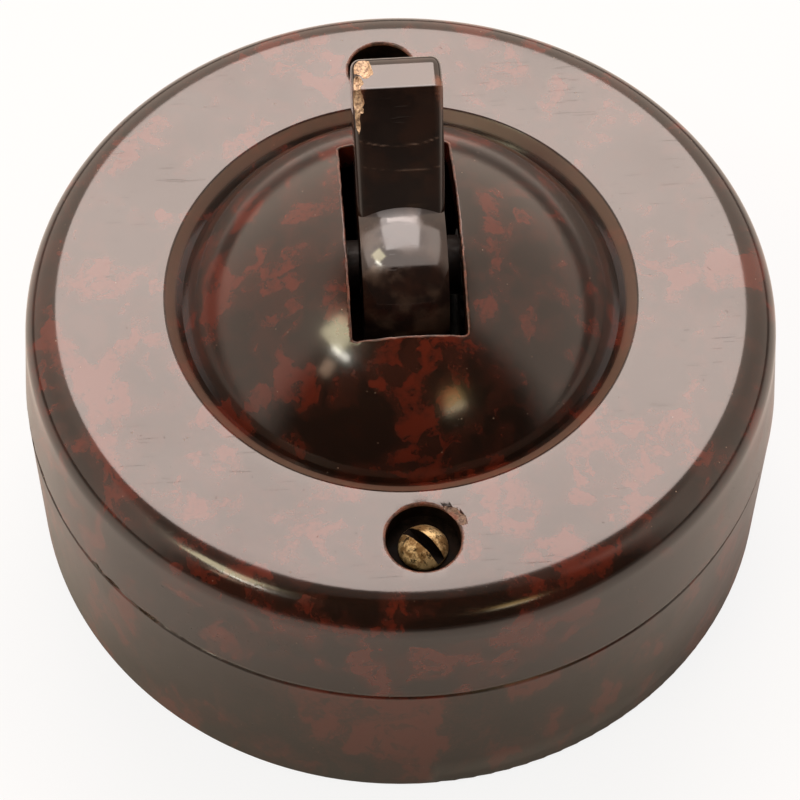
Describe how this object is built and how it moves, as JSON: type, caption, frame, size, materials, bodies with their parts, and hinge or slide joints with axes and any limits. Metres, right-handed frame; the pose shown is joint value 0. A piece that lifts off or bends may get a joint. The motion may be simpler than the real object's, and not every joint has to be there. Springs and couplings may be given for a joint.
{
  "type": "toggle wall switch",
  "caption": "Round surface-mounted toggle switch: a domed mottled phenolic cover on a deep base, with a dolly that throws a sprung rocker and contact blades.",
  "frame": {"origin": "centre of the base's flat back face, which lies on the wall", "axes": "+Z out from the wall, along the switch's axis; Y along the dolly's swing, with the dolly thrown towards +Y (off, up on a wall) at rest; X along the dolly's pin"},
  "size_m": [0.07, 0.07, 0.0498],
  "materials": {
    "bakelite_cover": "mottled red-brown and near-black phenolic moulding, high gloss, fine scratches",
    "bakelite_base": "mottled red-brown and near-black phenolic moulding, gloss, dulled towards the foot",
    "dolly_moulding": "plain near-black brown phenolic moulding, gloss, chipped at one corner",
    "cover_screw_brass": "tarnished and scuffed",
    "brass_hardware": "satin, slightly tarnished",
    "terminal_brass": "satin, turned and milled",
    "plunger_brass": "turned, greased",
    "contact_copper": "rolled phosphor bronze, slightly tarnished",
    "steel_hardware": "zinc plated, dull",
    "bridge_metal": "pressed and plated, dull",
    "spring_steel": "drawn wire, oiled",
    "rocker_fibre": "moulded insulating block, matt",
    "spacer_fibre": "vulcanised fibre washers, dark",
    "pitch": "poured pitch, slightly uneven"
  },
  "bodies": {
    "housing": {"base": "bakelite_base", "cover": "bakelite_cover", "cover_screws": "cover_screw_brass", "cover_inserts": "brass_hardware", "bridge": "bridge_metal", "bridge_screws": "steel_hardware", "dolly_pin": "steel_hardware", "rocker_pin": "steel_hardware", "dolly_spacers": "spacer_fibre", "contact_clip_left": "contact_copper", "contact_clip_right": "contact_copper", "terminal_left": "terminal_brass", "terminal_right": "terminal_brass", "terminal_screws": "brass_hardware", "terminal_fixings": "brass_hardware", "pitch_seals": "pitch"},
    "dolly_body": {"dolly": "dolly_moulding", "plunger_spring": "spring_steel"},
    "plunger_body": {"plunger": "plunger_brass"},
    "rocker_body": {"rocker": "rocker_fibre", "moving_contact": "contact_copper", "contact_rivets": "brass_hardware"}
  },
  "joints": [
    {"name": "dolly_tilt", "type": "hinge", "parent": "housing", "child": "dolly_body", "pos_m": [0, 0, 0.0318], "axis": [1, 0, 0], "range_deg": [0, 50]},
    {"name": "plunger_slide", "type": "slide", "parent": "dolly_body", "child": "plunger_body", "axis": [0, 0.4226, 0.9063], "range_m": [0, 0.0015], "stiffness_N_per_m": 800, "springref_m": -0.002, "deforming": ["plunger_spring"]},
    {"name": "rocker_tilt", "type": "hinge", "parent": "housing", "child": "rocker_body", "pos_m": [0, 0, 0.014], "axis": [1, 0, 0], "range_deg": [-25, 0]}
  ],
  "couplings": [
    {"joint": "rocker_tilt", "follows": "dolly_tilt", "ratio": -0.5}
  ]
}
